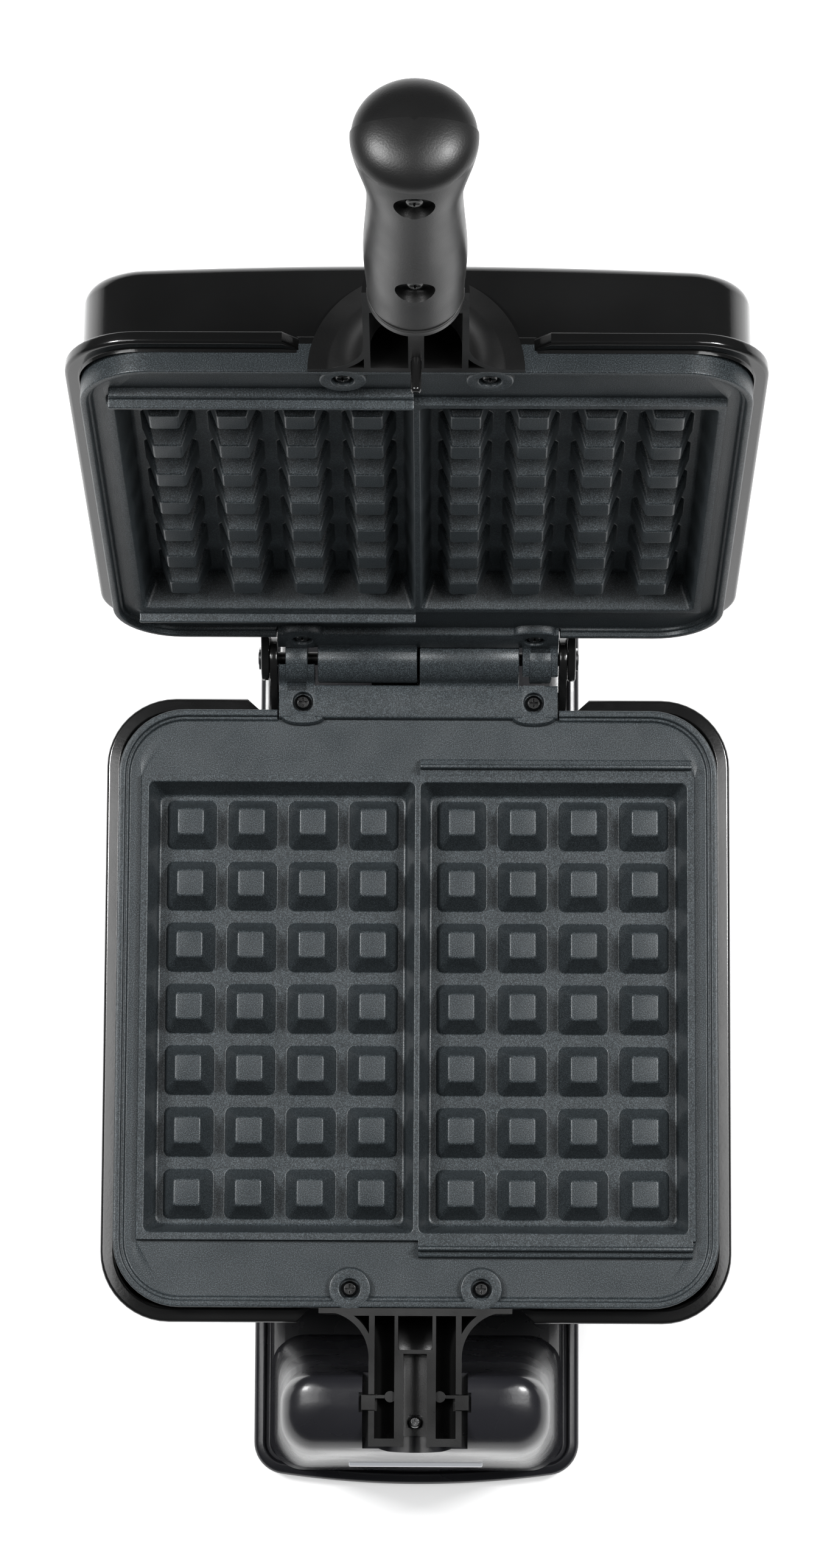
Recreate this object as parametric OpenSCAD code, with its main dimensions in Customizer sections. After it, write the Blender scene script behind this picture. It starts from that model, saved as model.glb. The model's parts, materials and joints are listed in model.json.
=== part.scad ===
// Rotary waffle maker for two rectangular waffles, shown with its lid open.
// The cooking head hangs on one long axis between a rear swivel and a front cradle.
// Millimetres, +Z up, handle side toward -Y, origin at the bottom centre of the open object.

/* [Head] */
// Width of each cooking plate, left to right
plate_w = 226; // [222:0.5:228]
// Depth of each cooking plate, handle side to hinge side
plate_d = 225; // [223:0.5:226]
// Corner radius of the cooking plates
plate_r = 25; // [20:1:28]
// How far the plastic housing flange stands out past the plate
flange_out = 4.5; // [3.5:0.5:5]
// Depth of each half of the head, from the parting plane to its flat outer face
half_h = 39.5; // [36:0.5:41]
// Extra height of the crown in the middle of each outer face
crown = 4; // [1:0.5:4]
// Angle the lid is opened from closed
lid_open = 103; // [95:1:103]

/* [Waffle] */
// Waffle cells across one waffle
cells_x = 4; // [4:1:4]
// Waffle cells along one waffle
cells_y = 7; // [5:1:7]
// Cell spacing across
pitch_x = 23; // [22:0.25:23]
// Cell spacing along
pitch_y = 23.3; // [22:0.1:23.3]
// Width of a cell at its foot
cell_foot = 19; // [17:0.5:20]
// Width of a cell at its top
cell_top = 10; // [8:0.5:12]
// Depth of the waffle cavity below the rib tops
cavity_depth = 13.6; // [11:0.1:14]

/* [Hinge] */
// Distance of the hinge axis behind the plate centre
hinge_y = 132; // [131:0.5:134]
// Radius of the hinge barrels
barrel_r = 9.2; // [8:0.1:9.3]
// Diameter of the hinge pin
pin_d = 5; // [4:0.5:6]

/* [Neck and handle] */
// Outer radius of the round neck that turns in the cradle
neck_r = 17.3; // [16:0.1:17.5]
// Distance of the neck's end in front of the plate centre
neck_end = 163.7; // [158:0.1:165]
// Distance of the handle's tip in front of the plate centre
handle_end = 282; // [270:1:300]
// Radius of the knob at the handle's end
knob_r = 19.5; // [17:0.1:20]
// Radius of the handle's waist
waist_r = 14.9; // [13.5:0.1:16]
// How far the rotation lock slides travel when the lid is shut
lock_travel = 2.6; // [2:0.1:2.6]

/* [Base] */
// Height of the long head axis above the table
axis_h = 134; // [132:1:145]
// Width of the base
base_w = 129; // [120:1:140]
// Distance of the base's front edge in front of the plate centre
base_front = 178; // [176:1:190]
// Distance of the base's rear edge behind the plate centre
base_rear = 216; // [214:1:230]
// Height of the rubber feet below the base
foot_h = 3; // [2:0.5:5]

/* [Hidden] */
$fn = 64;
e = 0.01;
wall = 2.5;
run = 0.05;                 // running clearance of a pin or shaft, on the radius
lip_w = 3;
lip_z = -0.25;
field_z = -3.2;
rib_z = -0.2;
skin = 3;
skirt_z = -10.7;
flange_z = [-12.9, -8.2];
body_in = 5.8;              // how far the housing body is set in from its flange
floor_z = rib_z - cavity_depth;
cell_z = -1.8;
draft = 3.3;
cavity_x = [1.1, 101.5];    // inner and outer edge of a cavity at its top
cavity_y = 84.8;
seal_x = 104.2;
tab_y = 122;
tab_x = 52.7;
ear_r = 8.3;
ear_t = 3;
ear_in = 53.2;
flare_r = 17;
flare_end = 131;
root_r = 36;
root_end = 114.6;
core_r = 10;
grip_start = 170;
seam_z = 1;                  // height of the split between the handle's two shells
knob_y = 272;
waist_y = 238;
column_y = 181.5;
deck_z = foot_h + 9;
housing_half = [plate_w / 2 + flange_out, plate_d / 2 + flange_out + 0.3];
front_screws = [[-24.5, -105.6], [24.5, -105.6]];
rear_screws = [[-43.7, 115.4], [43.7, 115.4]];
plate_screws = concat(front_screws, rear_screws);
lock_y = -145.3;
lock_x = 9.2;
feet_x = base_w / 2 - 14;
feet_y = [-base_front + 22, base_rear - 16];
bracket_screws = [for (x = [-24, 24], z = [-27, -18]) [x, z]];
cover_screws = [for (x = [-38, 38], y = [-150, 20, 196]) [x, y]];

// Radius of the handle at a distance h in front of the plate centre
function ease(t) = (1 - cos(180 * t)) / 2;
function handle_r(h) =
    h < 200 ? 15.5 + 0.9 * ease((h - grip_start) / (200 - grip_start))
    : h < waist_y ? 16.4 - (16.4 - waist_r) * ease((h - 200) / (waist_y - 200))
    : h < knob_y ? waist_r + (knob_r - waist_r) * ease((h - waist_y) / (knob_y - waist_y))
    : knob_r * sqrt(max(0, 1 - pow((h - knob_y) / (handle_end - knob_y), 2)));
handle_steps = concat([for (h = [grip_start:5.5:knob_y - 4]) h],
                      [for (a = [0:9:90]) knob_y + (handle_end - knob_y) * sin(a)]);
handle_outline = [for (h = handle_steps) [handle_r(h), h]];

// The open lid leans back past the base, so its reach sets the middle of the object
lean = lid_open - 90;
lid_reach = max([for (p = handle_outline)
    hinge_y + (hinge_y + p[1]) * sin(lean) + p[0] * cos(lean)]);
rear_reach = max(base_rear, lid_reach);
mid_y = (rear_reach - base_front) / 2;

// ---------- frames ----------
// The head frame: origin at the plate centre on the parting plane
module head() { translate([0, -mid_y, axis_h]) children(); }
// The lid, turned about the hinge pin from its closed place
module lid() {
    head() translate([0, hinge_y, 0]) rotate([-lid_open, 0, 0])
        translate([0, -hinge_y, 0]) children();
}
// A lid part drawn like its twin in the lower half, turned over about the long axis
module lid_twin() { lid() rotate([0, 180, 0]) children(); }
module table() { translate([0, -mid_y, 0]) children(); }

// ---------- shared shapes ----------
// Box from its lowest to its highest corner
module block(a, b) { translate(a) cube(b - a); }
// Rectangle with round corners, centred
module round_rect(w, d, r) {
    square([w - 2 * r, d], center = true);
    square([w, d - 2 * r], center = true);
    for (x = [-1, 1], y = [-1, 1]) translate([x * (w / 2 - r), y * (d / 2 - r)]) circle(r);
}
// Upright prism with round corners between two heights
module slab(w, d, r, z0, z1) { translate([0, 0, z0]) linear_extrude(z1 - z0) round_rect(w, d, r); }
// Solid turned about the long axis, from a [radius, distance in front] outline
module turned() { rotate([90, 0, 0]) rotate_extrude($fn = 96) children(); }
// Rod along X, Y or Z through a point
module rod_x(x0, x1, r, y = 0, z = 0) { translate([x0, y, z]) rotate([0, 90, 0]) cylinder(x1 - x0, r, r); }
module rod_y(y0, y1, r, x = 0, z = 0) { translate([x, y0, z]) rotate([-90, 0, 0]) cylinder(y1 - y0, r, r); }
module rod_z(z0, z1, r, x = 0, y = 0) { translate([x, y, z0]) cylinder(z1 - z0, r, r); }
// Pan-head screw with its seat at z = 0, head upward, with a cross recess
module screw(head_r, head_h, shank_r, shank_l) {
    difference() {
        union() {
            cylinder(head_h * 0.6, head_r, head_r);
            translate([0, 0, head_h * 0.6]) cylinder(head_h * 0.4, head_r, head_r * 0.7);
            translate([0, 0, -shank_l]) cylinder(shank_l + e, shank_r, shank_r);
        }
        for (a = [0, 90]) rotate([0, 0, a])
            block([-head_r * 0.55, -head_r * 0.12, head_h * 0.4], [head_r * 0.55, head_r * 0.12, head_h + 1]);
    }
}

// ---------- cooking plates ----------
// Trapezoid bar outline: foot and top width with the given heights
function trapezoid(c, foot, top, z0, z1) =
    [[c - foot / 2, z0], [c + foot / 2, z0], [c + top / 2, z1], [c - top / 2, z1]];
// One waffle's pyramids: two sets of crossed bars
module cells(side) {
    first_x = side * (cavity_x[0] + cavity_x[1]) / 2 - side * 0.1;
    intersection() {
        rotate([90, 0, 0]) linear_extrude(200, center = true)
            for (i = [0:cells_x - 1]) polygon(trapezoid(first_x + (i - (cells_x - 1) / 2) * pitch_x,
                cell_foot, cell_top, floor_z - e, cell_z));
        rotate([90, 0, 90]) linear_extrude(260, center = true)
            for (j = [0:cells_y - 1]) polygon(trapezoid((j - (cells_y - 1) / 2) * pitch_y,
                cell_foot, cell_top, floor_z - e, cell_z));
    }
}
// One waffle's tapered pocket, carried on above the parting plane
module cavity(side) {
    up = 5;
    grow = draft * (up - rib_z) / cavity_depth;
    mid = side * (cavity_x[0] + cavity_x[1]) / 2;
    width = cavity_x[1] - cavity_x[0];
    intersection() {
        rotate([90, 0, 0]) linear_extrude(200, center = true)
            polygon(trapezoid(mid, width - 2 * draft, width + 2 * grow, floor_z, up));
        rotate([90, 0, 90]) linear_extrude(260, center = true)
            polygon(trapezoid(0, 2 * (cavity_y - draft), 2 * (cavity_y + grow), floor_z, up));
    }
}
// Hinge lug and barrel of one plate, with the web that joins them to its tab
module hinge_knuckles() {
    for (span = [[-tab_x, -39], [0.4, 38.2]]) {
        rod_x(span[0], span[1], barrel_r, hinge_y, 0);
        block([span[0], tab_y - 1, -8.2], [span[1], hinge_y, lip_z]);
    }
}
// Both plates are this one casting; the upper one is turned over about the long axis
module plate_casting() {
    difference() {
        union() {
            difference() {
                slab(plate_w, plate_d, plate_r, skirt_z, lip_z);
                slab(plate_w - 2 * lip_w, plate_d - 2 * lip_w, plate_r - lip_w, field_z, 1);
                slab(plate_w - 2 * skin, plate_d - 2 * skin, plate_r - skin, skirt_z - 1, field_z - skin);
            }
            // pans under the two waffles and their sealing ribs
            block([-seal_x, -87.5, floor_z - skin], [seal_x, 87.5, field_z]);
            block([-seal_x, -87.5, field_z - 1], [0.9, 87.5, rib_z]);
            block([0, -89.7, field_z - 1], [seal_x, 89.7, rib_z]);
            for (s = [-1, 1]) {
                block([0.9, s > 0 ? 89.7 : -91.5, field_z - 1], [seal_x, s > 0 ? 91.5 : -89.7, 2.9]);
                block([0.9, s > 0 ? 91.5 : -93.8, field_z - 1], [seal_x, s > 0 ? 93.8 : -91.5, -0.1]);
            }
            // screw bosses, cut off flush with the plate's front edge
            intersection() {
                for (p = front_screws) rod_z(field_z - 3, lip_z, 7.8, p[0], p[1]);
                block([-60, -plate_d / 2 + 0.1, -20], [60, 0, 1]);
            }
            block([-tab_x, plate_d / 2 - lip_w, -8.2], [tab_x, tab_y, lip_z]);
            hinge_knuckles();
        }
        for (side = [-1, 1]) cavity(side);
        rod_x(-70, 70, pin_d / 2 + run, hinge_y, 0);
        for (p = plate_screws) {
            rod_z(-3.2, 3, 3.85, p[0], p[1]);
            rod_z(-20, 0, 1.8, p[0], p[1]);
        }
    }
    for (side = [-1, 1]) cells(side);
}
module plate_screw_set() {
    for (p = plate_screws) translate([p[0], p[1], -3.2]) screw(3, 2.3, 1.6, p[1] > 0 ? 10 : 22);
}

// ---------- housings ----------
// Crowned shell body, shrunk by a wall thickness for its inside
module housing_body(inset, z_top) {
    w = housing_half[0] - body_in - inset;
    d = housing_half[1] - body_in - inset;
    r = 20.2 - inset;
    f = 7.5 - inset / 2;
    hull() {
        for (x = [-1, 1], y = [-1, 1]) translate([x * (w - r), y * (d - r), 0]) {
            translate([0, 0, -half_h + inset + f]) rotate_extrude($fn = 32) {
                translate([r - f, 0]) intersection() { circle(f, $fn = 32); translate([0, -f]) square(f); }
            }
            translate([0, 0, -20]) cylinder(20 + z_top, r, r, $fn = 32);
        }
        translate([0, 0, -half_h - crown + inset]) cylinder(1, 62 - inset, 62 - inset, $fn = 48);
    }
}
// The hinge ears and the shelf that the plate's tab is screwed to
module housing_hinge(ear_x) {
    rear_wall = housing_half[1] - body_in;
    step = plate_d / 2 + 0.5;
    translate([-ear_x - ear_t, 0, 0]) rotate([90, 0, 90]) linear_extrude(2 * (ear_x + ear_t))
        polygon([[rear_wall - wall + 0.3, -13.4], [121, -13.4], [121, -8.4], [step, -8.4],
            [step, skirt_z - 0.2], [rear_wall - wall + 0.3, skirt_z - 0.2]]);
    for (s = [-1, 1]) {
        x0 = s > 0 ? ear_x : -ear_x - ear_t;
        rod_x(x0, x0 + ear_t, ear_r, hinge_y, 0);
        block([x0, 115, -14], [x0 + ear_t, hinge_y, -1]);
    }
}
// One half of the head's plastic casing, open toward the plate
module housing(ear_x) {
    difference() {
        union() {
            difference() {
                union() {
                    housing_body(0, flange_z[0] + e);
                    slab(2 * housing_half[0], 2 * housing_half[1], plate_r + 1, flange_z[0], flange_z[1]);
                }
                housing_body(wall, 0);
                slab(plate_w + 0.6, plate_d + 0.6, plate_r + 0.3, skirt_z, 0);
                // the flange stops short of the neck and of the hinge
                block([-44.5, -140, flange_z[0] - 0.1], [44.5, -housing_half[1] + body_in + 0.2, 0]);
                block([-65, plate_d / 2 + 0.3, flange_z[0]], [65, 140, 0]);
            }
            housing_hinge(ear_x);
            for (p = front_screws) rod_z(-half_h + 1, skirt_z - 0.5, 4.2, p[0], p[1]);
            for (x = [-80, 80], y = [-65, 65]) rod_z(-half_h, -31.2, 4, x, y);
        }
        for (p = plate_screws) rod_z(-30, 0, 1.7, p[0], p[1]);
        rod_x(-70, 70, pin_d / 2 + run, hinge_y, 0);
        // way in for the wires from the swivel bracket
        if (ear_x < ear_in + 1) rod_y(100, 118, 6, 0, -21.5);
        for (p = bracket_screws) if (ear_x < ear_in + 1) rod_y(100, 118, 1.3, p[0], p[1]);
    }
}

// ---------- neck ----------
// Half outline of the flared neck, set in by a wall thickness for its pockets
module neck_outline(inset, end) {
    root = housing_half[1] - body_in;
    difference() {
        translate([0, root]) square([neck_r + flare_r - inset, flare_end - root]);
        translate([neck_r + flare_r, flare_end]) circle(flare_r + inset, $fn = 96);
    }
    translate([0, root]) square([root_r - inset, root_end - root - inset / 2]);
    translate([0, root]) square([neck_r - inset, end - root]);
}
// Half neck below the parting plane with its ribbed pockets
module half_neck(end, pockets) {
    difference() {
        intersection() {
            turned() neck_outline(0, end);
            block([-60, -end - 1, -60], [60, 0, lip_z]);
        }
        // room for the rim of the cooking plate
        block([-60, -plate_d / 2 - 0.2, skirt_z - 0.3], [60, 0, 1]);
        intersection() {
            turned() neck_outline(2.2, end + 10);
            for (p = pockets) block([p[0], -p[3], -60], [p[1], -p[2], 1]);
        }
    }
}
neck_pockets = [[-36, -17.2, 115.5, 131], [17.2, 36, 115.5, 131],
    [-15.1, -7.7, 115.5, 160.7], [7.7, 15.1, 115.5, 160.7], [-6.4, 6.4, 115.5, 128]];
centre_slot = [-4.35, 4.35, 129.5, 175];

// ---------- base pieces ----------
// Outline of the base on the table, with its front edge gently curved
module base_outline(inset) {
    bow = 380;
    r = 13;
    corner_x = base_w / 2 - r;
    corner_y = bow - base_front - sqrt((bow - r) * (bow - r) - corner_x * corner_x);
    length = base_rear - r - corner_y;
    translate([0, corner_y + length / 2])
        round_rect(base_w - 2 * inset, length + 2 * r - 2 * inset, r - inset);
    intersection() {
        touch_x = corner_x * (bow - inset) / (bow - r);
        translate([-touch_x, -base_front]) square([2 * touch_x, 60]);
        translate([0, bow - base_front]) circle(bow - inset, $fn = 240);
    }
}
// Solid of the front pedestal, shrunk by a wall thickness for its inside
module pedestal(inset, z0) {
    top_r = 9 - inset / 2;
    hull() {
        translate([0, -147, z0]) linear_extrude(1) round_rect(114 - 2 * inset, 52 - 2 * inset, 13 - inset, $fn = 32);
        translate([0, -150.5, axis_h - 32]) linear_extrude(1)
            round_rect(103 - 2 * inset, 33 - 2 * inset, 12 - inset, $fn = 32);
        for (x = [-41, 41], y = [-154.6, -146])
            translate([x, y, axis_h - 1.5 - inset - top_r]) sphere(top_r, $fn = 32);
    }
}
// Cross-section of the rear column, shrunk by a wall thickness for its inside
module column_section(inset) {
    r = 23.8 - inset;
    translate([0, axis_h]) circle(r, $fn = 96);
    polygon([[-46 + inset, foot_h + 5], [46 - inset, foot_h + 5], [r, axis_h], [-r, axis_h]]);
}
module column(inset, y0, y1) { translate([0, y1, 0]) rotate([90, 0, 0]) linear_extrude(y1 - y0) column_section(inset); }
cradle_r = neck_r + 0.7;
lens_y = -170.1;
lens_z = axis_h - 78;

module base_housing() {
    color("#17171a") table() difference() {
        union() {
            difference() {
                union() {
                    translate([0, 0, foot_h]) linear_extrude(7) base_outline(0);
                    translate([0, 0, foot_h + 6]) linear_extrude(3) base_outline(7);
                    pedestal(0, foot_h + 5);
                    column(0, column_y, base_rear - 5);
                }
                translate([0, 0, foot_h - 1]) linear_extrude(7.5) base_outline(wall);
                pedestal(wall, foot_h + 8.8);
                // way up into the pedestal for the lamp wires
                block([-28, -166, foot_h], [28, -131, foot_h + 12]);
                column(wall, column_y + wall, base_rear);
            }
            // saddle under the neck, and the sleeve round the swivel bush
            intersection() {
                pedestal(0, foot_h + 5);
                block([-23.5, -190, axis_h - 21], [23.5, -100, axis_h]);
            }
            rod_y(column_y + 1, 205, 18, 0, axis_h);
            for (x = [-1, 1], y = feet_y) rod_z(foot_h, foot_h + 8, 7, x * feet_x, y);
            for (p = cover_screws) rod_z(foot_h + 2, foot_h + 8, 3.5, p[0], p[1]);
        }
        rod_y(-200, -100, cradle_r, 0, axis_h);
        for (s = [-1, 1]) block([s > 0 ? 16 : -20.9, lock_y - 5.7, axis_h - 5.4], [s > 0 ? 20.9 : -16, lock_y + 1.6, axis_h + 5]);
        rod_y(170, 207, 15.05, 0, axis_h);
        for (x = [-1, 1], y = feet_y) rod_z(foot_h - 1, foot_h + 5, 4, x * feet_x, y);
        for (p = cover_screws) rod_z(foot_h, foot_h + 7, 1.3, p[0], p[1]);
        translate([0, lens_y, lens_z]) rotate([4, 0, 0]) block([-25.9, -6, -2.6], [25.9, 6, 2.6]);
    }
}
module base_bottom_cover() {
    color("#1c1c1e") table() difference() {
        translate([0, 0, foot_h]) linear_extrude(2) base_outline(wall + 0.3);
        for (p = cover_screws) rod_z(foot_h - 1, foot_h + 3, 1.7, p[0], p[1]);
        for (x = [-1, 1], y = feet_y) rod_z(foot_h - 1, foot_h + 3, 7.3, x * feet_x, y);
    }
}
module base_cover_screws() {
    color("#8a8c90") table() for (p = cover_screws)
        translate([p[0], p[1], foot_h]) mirror([0, 0, 1]) screw(2.6, 1.8, 1.25, 6.5);
}
module foot(x, y) {
    color("#101011") table() translate([x, y, 0]) difference() {
        union() {
            cylinder(foot_h, 7.5, 7);
            cylinder(foot_h + 4.9, 3.9, 3.9);
        }
        translate([0, 0, -e]) cylinder(1, 4, 4);
    }
}
module foot_front_left() { foot(-feet_x, feet_y[0]); }
module foot_front_right() { foot(feet_x, feet_y[0]); }
module foot_rear_left() { foot(-feet_x, feet_y[1]); }
module foot_rear_right() { foot(feet_x, feet_y[1]); }
module indicator_lens() {
    color("#e4e6ea") table() translate([0, lens_y, lens_z]) rotate([4, 0, 0])
        block([-25.8, -0.8, -2.5], [25.8, 3.5, 2.5]);
}
module pilot_lamp(x) {
    table() translate([x, lens_y + 7.4, lens_z]) {
        rod_y(-3.5, 6, 2.5);
        rod_y(6, 8, 3.2);
    }
}
module pilot_lamp_red() { color("#c8281e") pilot_lamp(-16); }
module pilot_lamp_green() { color("#35b04a") pilot_lamp(16); }
module terminal_block() {
    color("#d9d6c8") table() difference() {
        block([-20, 190, deck_z + 4], [20, 202, deck_z + 18]);
        for (x = [-14, 0, 14]) rod_z(deck_z + 12, deck_z + 19, 3, x, 196);
    }
}
module rear_cover() {
    color("#1a1a1d") table() difference() {
        union() {
            column(0, base_rear - 4.9, base_rear - 2.5);
            column(wall + 0.3, base_rear - 8, base_rear - 4.9 + e);
        }
        // the cover stands on the base
        block([-80, base_rear - 20, 0], [80, base_rear + 20, foot_h + 7.1]);
        block([-80, base_rear - 20, 0], [80, base_rear - 6.9, deck_z + 0.1]);
        column(wall + 2.5, base_rear - 9, base_rear - 5);
        rod_y(base_rear - 12, base_rear + 2, 6.2, 0, 42);
        for (x = [-20, 20], z = [60, 100]) rod_y(base_rear - 12, base_rear + 2, 1.7, x, z);
    }
}
module rear_cover_screws() {
    color("#8a8c90") table() for (x = [-20, 20], z = [60, 100])
        translate([x, base_rear - 2.5, z]) rotate([-90, 0, 0]) screw(2.8, 1.9, 1.4, 12);
}
module cable_gland() {
    color("#0f0f10") table() translate([0, base_rear, 42]) difference() {
        union() {
            rod_y(-8, 0, 6.1);
            rod_y(-2.5, 3, 8.5);
            rod_y(-10, -5.1, 7.6);
        }
        rod_y(-12, 6, 3.6);
    }
}
module swivel_bush() {
    color("#e8e6df") table() difference() {
        union() {
            rod_y(column_y - 1.5, 205, 15, 0, axis_h);
            rod_y(column_y - 1.5, column_y, 17.5, 0, axis_h);
        }
        rod_y(170, 210, 11 + run, 0, axis_h);
    }
}
module swivel_shaft() {
    color("#b9bcc0") table() difference() {
        union() {
            rod_y(172, 208, 11, 0, axis_h);
            rod_y(174.5, column_y - 2, 12.6, 0, axis_h);
        }
        rod_y(165, 210, 7.5, 0, axis_h);
        difference() {
            rod_y(205.6, 206.9, 12, 0, axis_h);
            rod_y(205, 208, 10, 0, axis_h);
        }
    }
}
module swivel_clip() {
    color("#9a9da1") table() difference() {
        rod_y(205.7, 206.8, 14, 0, axis_h);
        rod_y(205, 208, 10.05, 0, axis_h);
        block([-4, 205, axis_h - 20], [4, 208, axis_h]);
    }
}
// Arm from the back of the lower housing to the swivel shaft
module swivel_bracket() {
    rear_wall = housing_half[1] - body_in;
    color("#1b1b1d") head() difference() {
        union() {
            block([-32, rear_wall, -30], [32, rear_wall + 4, -16.2]);
            block([-18, rear_wall, -30], [18, 172, -16.2]);
            block([-18, 146, -30], [18, 172, -12]);
            rod_y(160, 172, 11.2);
            block([-13, 160, -16.2], [13, 172, 0]);
        }
        block([-15, rear_wall + 5, -27.5], [15, 168, -18.5]);
        rod_y(rear_wall - 1, rear_wall + 6, 6, 0, -21.5);
        rod_y(158, 173, 7.5);
        block([-7.5, 162, -20], [7.5, 168, 0]);
        for (p = bracket_screws) rod_y(100, 120, 1.7, p[0], p[1]);
        rod_x(-70, 70, 10.2, hinge_y, 0);
    }
}
module bracket_screws() {
    rear_wall = housing_half[1] - body_in;
    color("#8a8c90") head() for (p = bracket_screws)
        translate([p[0], rear_wall + 4, p[1]]) rotate([-90, 0, 0]) screw(2.8, 1.9, 1.25, 8);
}

// ---------- lower half ----------
module lower_housing() { color("#141416") head() housing(ear_in); }
module lower_plate() { color("#3b4047") head() plate_casting(); }
module lower_plate_screws() { color("#5b5d61") head() plate_screw_set(); }
// Sheathed element bent round under the two waffles, ends at the hinge side
module heating_element() {
    z = floor_z - skin - 3.3;
    r = 3.2;
    bend = 18;
    x = 62;
    for (s = [-1, 1]) {
        rod_y(-52, 56, r, s * x, z);
        translate([s * (x - bend), -52, z]) rotate([0, 0, s > 0 ? -90 : 180])
            rotate_extrude(angle = 90) translate([bend, 0]) circle(r, $fn = 24);
        rod_y(56, 74, 1.6, s * x, z);
    }
    rod_x(-(x - bend), x - bend, r, -52 - bend, z);
}
module lower_heating_element() { color("#7d7a72") head() heating_element(); }
module reflector() {
    difference() {
        slab(188, 158, 12, -31, -25);
        slab(186, 156, 11, -30.2, -24);
    }
}
module lower_reflector() { color("#b5b7ba") head() reflector(); }
module thermostat(x) {
    rod_z(-23, floor_z - skin, 9, x, 20);
    rod_z(-24.6, -23, 6, x, 20);
    for (s = [-1, 1]) block([x + s * 5 - 1.5, 28, -21], [x + s * 5 + 1.5, 38, -20.2]);
}
module lower_thermostat() { color("#d0cdc4") head() thermostat(0); }
module thermal_fuse() {
    color("#c9b27a") head() {
        rod_x(20, 31, 2.1, -10, floor_z - skin - 2.2);
        rod_x(12, 39, 0.5, -10, floor_z - skin - 2.2);
    }
}
module lower_neck() {
    color("#131315") head() difference() {
        half_neck(neck_end + 5, concat(neck_pockets, [centre_slot]));
        // the end face leans like the front of the base
        translate([0, -neck_end, 0]) rotate([15, 0, 0]) block([-30, -30, -40], [30, 0, 20]);
        // ways for the lock slides through the walls
        for (s = [-1, 1]) {
            block([s > 0 ? 14 : -18, lock_y - 5.2, -5.2], [s > 0 ? 18 : -14, lock_y + 0.9, 1]);
            block([s > 0 ? 3 : -9, lock_y - 2.5, -5.3], [s > 0 ? 9 : -3, lock_y + 2.5, -1.3]);
        }
        rod_z(-20, 0, 1.3, 0, -154.5);
        block([-2.6, -157.1, -20], [2.6, -151.9, -13.1]);
    }
}
module neck_screw() {
    color("#8a8c90") head() translate([0, -154.5, -13.1]) screw(2.2, 1.5, 1.25, 1.9);
}
// One side's lock slide: round follower, thin bar and square lug
module lock_slide(s) {
    color("#1d1d20") head() {
        rod_z(-5, -1.6, 2.1, s * lock_x, lock_y);
        block([s > 0 ? lock_x : -15, lock_y - 0.6, -4.6], [s > 0 ? 15 : -lock_x, lock_y + 0.6, -2]);
        block([s > 0 ? 14.9 : -19.9, lock_y - 4.9, -4.9], [s > 0 ? 19.9 : -14.9, lock_y + 0.6, -1.6]);
    }
}
module lock_slide_left() { lock_slide(-1); }
module lock_slide_right() { lock_slide(1); }
module hinge_pin() { color("#a9abaf") head() rod_x(-60.6, 60.6, pin_d / 2, hinge_y, 0); }
module hinge_pin_rings() {
    color("#a9abaf") head() for (s = [-1, 1]) difference() {
        rod_x(s > 0 ? 59.5 : -60.3, s > 0 ? 60.3 : -59.5, pin_d / 2 + 1.8, hinge_y, 0);
        rod_x(-70, 70, pin_d / 2, hinge_y, 0);
    }
}

// ---------- lid ----------
module upper_housing() { color("#141416") lid_twin() housing(ear_in + ear_t + 0.2); }
module upper_plate() { color("#3b4047") lid_twin() plate_casting(); }
module upper_plate_screws() { color("#5b5d61") lid_twin() plate_screw_set(); }
module upper_heating_element() { color("#7d7a72") lid_twin() heating_element(); }
module upper_reflector() { color("#b5b7ba") lid_twin() reflector(); }
module upper_thermostat() { color("#d0cdc4") lid_twin() thermostat(0); }
upper_pockets = [[-36, -17.2, 115.5, 131], [17.2, 36, 115.5, 131],
    [-15.1, -2.6, 115.5, 155.5], [2.6, 15.1, 115.5, 155.5]];
module upper_neck() {
    color("#131315") lid_twin() difference() {
        half_neck(grip_start - 0.2, upper_pockets);
        rod_y(-180, -157.8, core_r + 0.1);
        rod_z(-9, 1, 1.9, 0, -122);
    }
}
// Peg that reaches into the lower neck when the lid is shut
module lock_peg() {
    color("#1d1d20") lid() {
        rod_z(-11, 8.9, 1.85, 0, -122);
        translate([0, -122, -12]) cylinder(1, 1.2, 1.85);
    }
}
// Tube inside the handle that ties it to the neck
module handle_core() {
    color("#2a2a2c") lid() difference() {
        rod_y(-262, -158, core_r);
        rod_y(-263, -157, 6);
        // below the grip only the half above the parting plane is left
        block([-20, -grip_start, -20], [20, -150, 0.4]);
        for (h = [199, 254]) rod_z(-20, 20, 1.7, 0, -h);
    }
}
module handle_solid(grow) { turned() polygon(concat([[0, grip_start]], [for (p = handle_outline) [max(0, p[0] + grow), p[1]]])); }
module handle_collar() {
    color("#202022") lid() difference() {
        turned() translate([core_r + 0.1, grip_start - 0.1]) square([5.6, 3]);
        block([-30, -180, seam_z], [30, -160, 30]);
    }
}
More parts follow.
